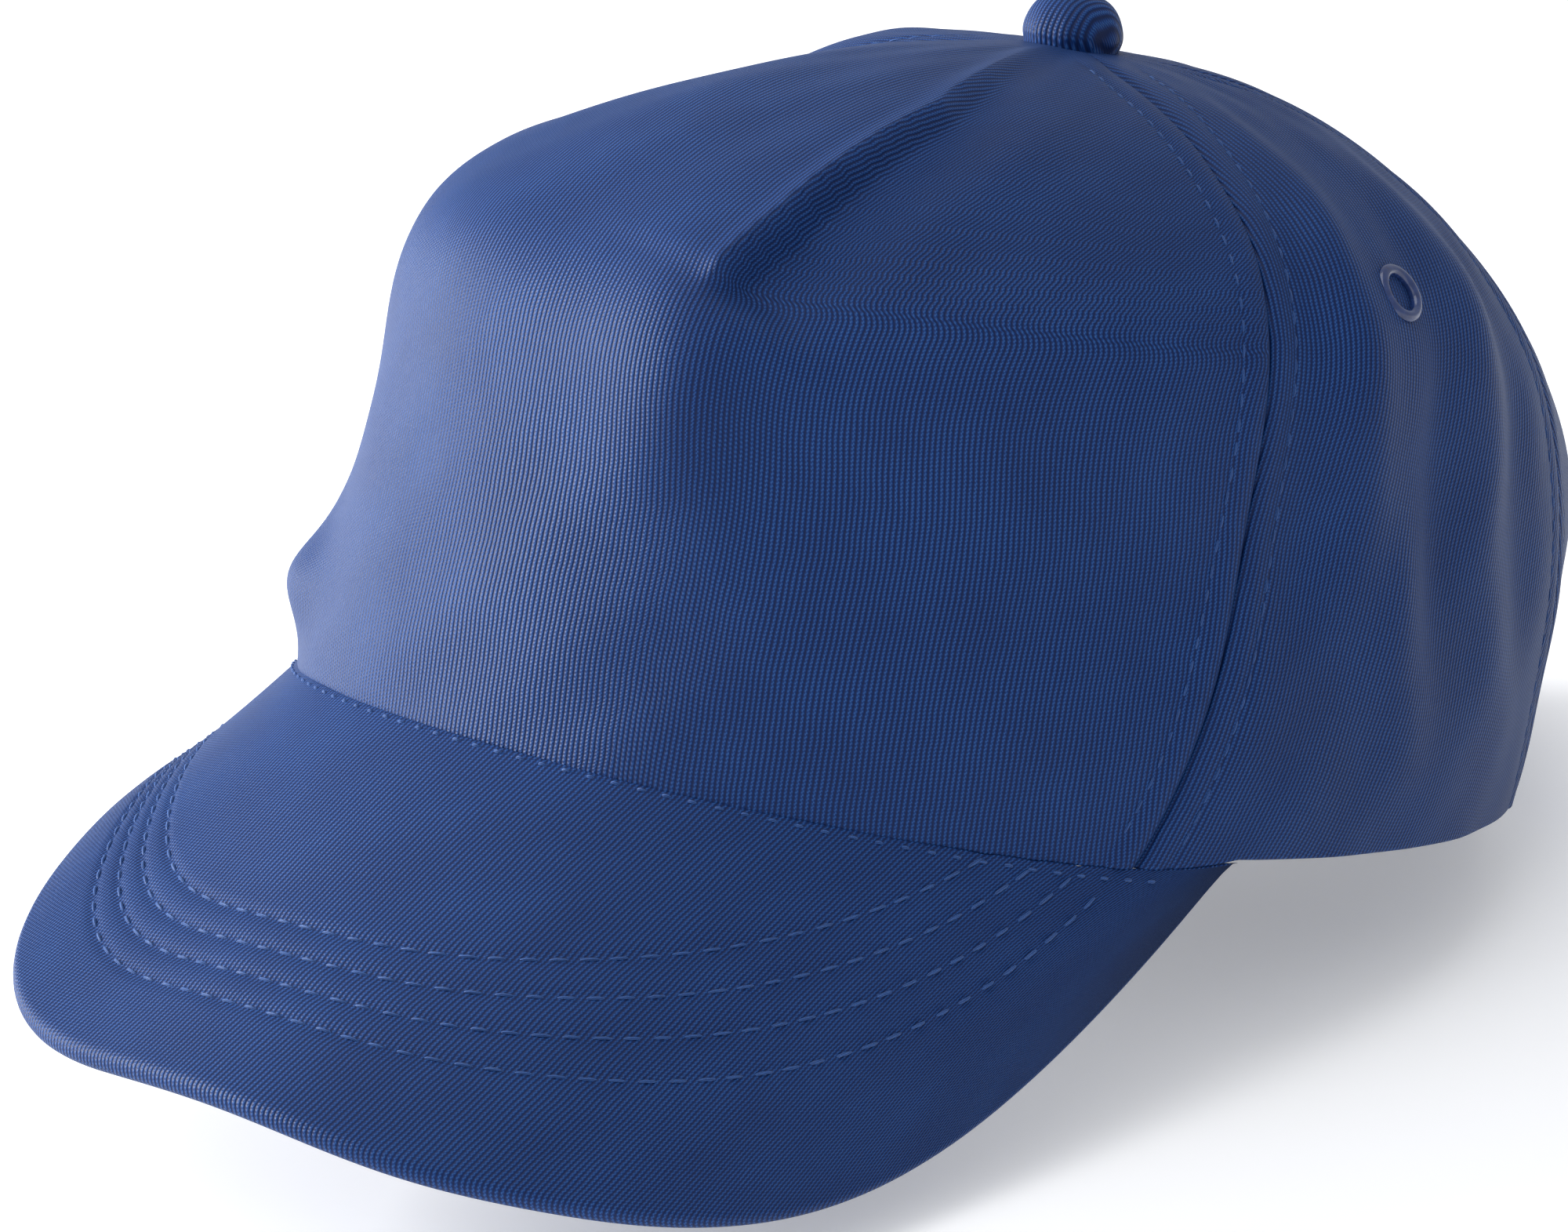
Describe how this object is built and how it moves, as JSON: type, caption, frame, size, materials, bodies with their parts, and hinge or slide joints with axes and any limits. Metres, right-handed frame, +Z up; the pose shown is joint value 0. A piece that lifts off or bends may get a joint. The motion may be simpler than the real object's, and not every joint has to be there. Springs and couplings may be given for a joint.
{
  "type": "baseball cap",
  "caption": "Structured cotton twill baseball cap with a curved topstitched visor, covered top button, vent eyelets and an arched back opening with a touch closure.",
  "frame": {"origin": "middle of the cap's footprint on the surface it stands on, resting on the two lobes of the visor and the back edge", "axes": "+Z up, -Y to the front along the visor, +X to the wearer's left"},
  "size_m": [0.169, 0.2794, 0.1298],
  "materials": {
    "twill": "matte cotton twill",
    "backing": "stiff open buckram",
    "seam_tape": "plain woven tape",
    "sweatband": "soft brushed twill",
    "padding": "soft white felt",
    "board": "flexible white polyethylene",
    "button_metal": "plain pressed",
    "eyelet_paint": "gloss enamel",
    "eyelet_washer": "plain pressed",
    "hook": "nylon hooks",
    "loop": "brushed nylon loops",
    "label": "blank satin"
  },
  "bodies": {
    "cap": {"back_opening_binding": "seam_tape", "care_label": "label", "centre_back_seam_tape": "seam_tape", "front_backing": "backing", "front_left_seam_tape": "seam_tape", "front_panel": "twill", "front_right_seam_tape": "seam_tape", "left_rear_eyelet": "eyelet_paint", "left_rear_eyelet_washer": "eyelet_washer", "left_rear_panel": "twill", "left_side_eyelet": "eyelet_paint", "left_side_eyelet_washer": "eyelet_washer", "left_side_panel": "twill", "rear_left_seam_tape": "seam_tape", "rear_right_seam_tape": "seam_tape", "right_rear_eyelet": "eyelet_paint", "right_rear_eyelet_washer": "eyelet_washer", "right_rear_panel": "twill", "right_side_eyelet": "eyelet_paint", "right_side_eyelet_washer": "eyelet_washer", "right_side_panel": "twill", "sweatband": "sweatband", "sweatband_padding": "padding", "top_button_cover": "twill", "top_button_rivet": "button_metal", "top_button_shell": "button_metal", "top_button_washer": "button_metal", "visor_board": "board", "visor_top_cover": "twill", "visor_under_cover": "twill"},
    "hook_tab_body": {"hook_tab": "twill", "hook_pad": "hook"},
    "loop_strap_body": {"loop_strap": "twill", "loop_pad": "loop"}
  },
  "joints": [
    {"name": "hook_tab_peel", "type": "hinge", "parent": "cap", "child": "hook_tab_body", "pos_m": [-0.031, 0.1122, -0.00083], "axis": [0, 0.4637, 0.886], "range_deg": [0, 110]},
    {"name": "loop_strap_flap", "type": "hinge", "parent": "cap", "child": "loop_strap_body", "pos_m": [0.031, 0.10909, 0.00006], "axis": [0, 0.4626, 0.8866], "range_deg": [0, 50]}
  ]
}
